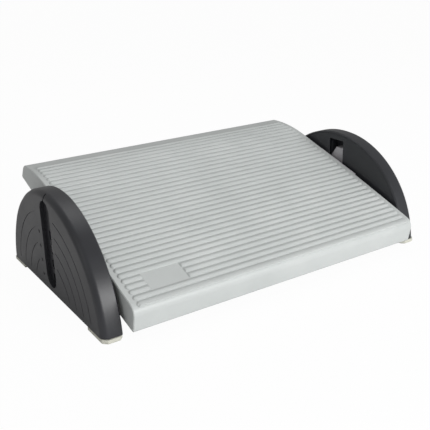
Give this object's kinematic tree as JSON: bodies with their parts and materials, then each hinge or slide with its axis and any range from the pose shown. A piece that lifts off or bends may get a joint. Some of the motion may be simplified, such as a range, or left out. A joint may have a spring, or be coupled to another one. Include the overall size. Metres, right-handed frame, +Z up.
{
  "type": "tilting under desk footrest",
  "caption": "Under desk footrest: a ridged foot platform that tilts on two pivot pins and slides up and down in two arched side supports with soft feet.",
  "frame": {"origin": "centre of the bounding box's footprint, on the floor", "axes": "+X across the footrest to the right as its user sees it, +Y away from the user, +Z up"},
  "size_m": [0.512, 0.3357, 0.141],
  "materials": {
    "tread_plastic": "light grey moulded ABS, fine grain",
    "support_plastic": "anthracite moulded polypropylene, satin",
    "slider_plastic": "pale grey acetal, smooth",
    "foot_rubber": "beige-grey soft rubber",
    "ring_rubber": "black rubber",
    "clip_steel": "spring steel",
    "screw_steel": "zinc plated"
  },
  "bodies": {
    "supports": {"left_outer_shell": "support_plastic", "left_inner_cover": "support_plastic", "left_cover_screws": "screw_steel", "left_front_foot": "foot_rubber", "left_rear_foot": "foot_rubber", "right_outer_shell": "support_plastic", "right_inner_cover": "support_plastic", "right_cover_screws": "screw_steel", "right_front_foot": "foot_rubber", "right_rear_foot": "foot_rubber"},
    "height_carriage": {"left_pivot_block": "slider_plastic", "left_friction_ring": "ring_rubber", "right_pivot_block": "slider_plastic", "right_friction_ring": "ring_rubber"},
    "platform": {"platform_tread": "tread_plastic", "left_hub_plate": "slider_plastic", "left_pin_cap": "slider_plastic", "left_retaining_clip": "clip_steel", "left_hub_screws": "screw_steel", "right_hub_plate": "slider_plastic", "right_pin_cap": "slider_plastic", "right_retaining_clip": "clip_steel", "right_hub_screws": "screw_steel"}
  },
  "joints": [
    {"name": "height", "type": "slide", "parent": "supports", "child": "height_carriage", "axis": [0, 0, 1], "range_m": [-0.04, 0.02]},
    {"name": "tilt", "type": "hinge", "parent": "height_carriage", "child": "platform", "pos_m": [0, 0, 0.063], "axis": [1, 0, 0], "range_deg": [-17, 3]}
  ]
}
